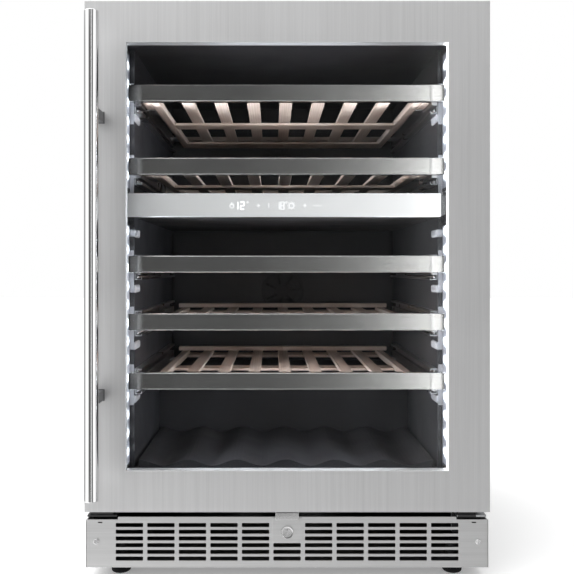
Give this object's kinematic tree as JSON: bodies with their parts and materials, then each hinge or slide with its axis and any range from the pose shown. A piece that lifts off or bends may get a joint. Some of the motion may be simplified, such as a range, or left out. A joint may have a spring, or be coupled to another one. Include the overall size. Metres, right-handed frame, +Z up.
{
  "type": "wine cooler",
  "caption": "Undercounter wine cooler with a framed glass door, a bar handle, sliding wooden shelves in two zones and a slotted plinth.",
  "frame": {"origin": "on the floor, under the middle of the bounding box", "axes": "+X to the right seen from the front, +Y to the rear, +Z up; the door faces -Y"},
  "size_m": [0.605, 0.664, 0.874],
  "materials": {
    "black_paint": "satin",
    "galvanised": "satin",
    "brushed_steel": "satin",
    "polished_steel": "polished",
    "bright_steel": "polished",
    "grey_steel": "satin",
    "aluminium": "satin",
    "copper": "satin",
    "black_liner": "matte",
    "black_plastic": "satin",
    "white_plastic": "satin",
    "lamp_board": "satin",
    "lamp_lens": "satin",
    "foam": "matte",
    "black_rubber": "matte",
    "tinted_glass": "gloss",
    "spacer": "matte",
    "beech": "satin"
  },
  "bodies": {
    "cabinet": {"cabinet_shell": "black_paint", "back_panel": "galvanised", "base_pan": "galvanised", "inner_liner": "black_liner", "insulation_foam": "foam", "zone_divider": "black_liner", "control_fascia": "brushed_steel", "led_boards": "lamp_board", "led_lenses": "lamp_lens", "upper_air_duct": "black_liner", "lower_air_duct": "black_liner", "evaporators": "aluminium", "outer_runners": "galvanised", "top_hinge": "black_paint", "bottom_hinge": "galvanised", "hinge_blank": "black_plastic", "cabinet_screws": "bright_steel", "plinth_grille": "brushed_steel", "lock_housing": "galvanised", "compressor": "black_paint", "compressor_mounts": "black_rubber", "condenser_coil": "black_paint", "condenser_fan_frame": "black_plastic", "refrigerant_pipes": "copper", "rear_vent_cover": "galvanised", "cord_gland": "black_rubber", "bottle_cradle": "black_liner"},
    "door": {"door_skin": "brushed_steel", "door_inner_frame": "black_plastic", "outer_glass": "tinted_glass", "inner_glass": "tinted_glass", "glass_spacer": "spacer", "door_gasket": "black_rubber", "handle_bar": "polished_steel", "handle_posts": "grey_steel", "door_bushings": "white_plastic", "lock_strike": "bright_steel"},
    "lock_barrel": {"lock_cylinder": "bright_steel"},
    "condenser_fan_wheel": {"condenser_fan": "black_plastic"},
    "upper_fan_wheel": {"upper_fan": "black_plastic"},
    "lower_fan_wheel": {"lower_fan": "black_plastic"},
    "foot_front_left_unit": {"foot_front_left": "black_plastic"},
    "foot_front_right_unit": {"foot_front_right": "black_plastic"},
    "foot_rear_left_unit": {"foot_rear_left": "black_plastic"},
    "foot_rear_right_unit": {"foot_rear_right": "black_plastic"},
    "shelf_1": {"shelf_1_wood": "beech", "shelf_1_trim": "brushed_steel", "shelf_1_runners": "galvanised"},
    "shelf_2": {"shelf_2_wood": "beech", "shelf_2_trim": "brushed_steel", "shelf_2_runners": "galvanised"},
    "shelf_3": {"shelf_3_wood": "beech", "shelf_3_trim": "brushed_steel", "shelf_3_runners": "galvanised"},
    "shelf_4": {"shelf_4_wood": "beech", "shelf_4_trim": "brushed_steel", "shelf_4_runners": "galvanised"},
    "shelf_5": {"shelf_5_wood": "beech", "shelf_5_trim": "brushed_steel", "shelf_5_runners": "galvanised"}
  },
  "joints": [
    {"name": "door_hinge", "type": "hinge", "parent": "cabinet", "child": "door", "pos_m": [0.2935, -0.233, 0.4863], "axis": [0, 0, 1], "range_deg": [0, 115]},
    {"name": "lock_turn", "type": "hinge", "parent": "cabinet", "child": "lock_barrel", "pos_m": [0, -0.24, 0.07414], "axis": [0, -1, 0], "range_deg": [0, 90]},
    {"name": "condenser_fan_spin", "type": "hinge", "parent": "cabinet", "child": "condenser_fan_wheel", "pos_m": [-0.038, 0.224, 0.1], "axis": [1, 0, 0], "continuous": true},
    {"name": "upper_fan_spin", "type": "hinge", "parent": "cabinet", "child": "upper_fan_wheel", "pos_m": [0, 0.278, 0.712], "axis": [0, 1, 0], "continuous": true},
    {"name": "lower_fan_spin", "type": "hinge", "parent": "cabinet", "child": "lower_fan_wheel", "pos_m": [0, 0.278, 0.42], "axis": [0, 1, 0], "continuous": true},
    {"name": "shelf_1_slide", "type": "slide", "parent": "cabinet", "child": "shelf_1", "axis": [0, -1, 0], "range_m": [0, 0.15]},
    {"name": "shelf_2_slide", "type": "slide", "parent": "cabinet", "child": "shelf_2", "axis": [0, -1, 0], "range_m": [0, 0.15]},
    {"name": "shelf_3_slide", "type": "slide", "parent": "cabinet", "child": "shelf_3", "axis": [0, -1, 0], "range_m": [0, 0.15]},
    {"name": "shelf_4_slide", "type": "slide", "parent": "cabinet", "child": "shelf_4", "axis": [0, -1, 0], "range_m": [0, 0.15]},
    {"name": "shelf_5_slide", "type": "slide", "parent": "cabinet", "child": "shelf_5", "axis": [0, -1, 0], "range_m": [0, 0.15]},
    {"name": "foot_front_left_level", "type": "slide", "parent": "cabinet", "child": "foot_front_left_unit", "axis": [0, 0, -1], "range_m": [-0.008, 0.015]},
    {"name": "foot_front_right_level", "type": "slide", "parent": "cabinet", "child": "foot_front_right_unit", "axis": [0, 0, -1], "range_m": [-0.008, 0.015]},
    {"name": "foot_rear_left_level", "type": "slide", "parent": "cabinet", "child": "foot_rear_left_unit", "axis": [0, 0, -1], "range_m": [-0.008, 0.015]},
    {"name": "foot_rear_right_level", "type": "slide", "parent": "cabinet", "child": "foot_rear_right_unit", "axis": [0, 0, -1], "range_m": [-0.008, 0.015]}
  ],
  "couplings": [
    {"joint": "shelf_1_slide", "follows": "door_hinge", "m_per_rad": 0.0745},
    {"joint": "shelf_2_slide", "follows": "door_hinge", "m_per_rad": 0.0745},
    {"joint": "shelf_3_slide", "follows": "door_hinge", "m_per_rad": 0.0745},
    {"joint": "shelf_4_slide", "follows": "door_hinge", "m_per_rad": 0.0745},
    {"joint": "shelf_5_slide", "follows": "door_hinge", "m_per_rad": 0.0745}
  ]
}
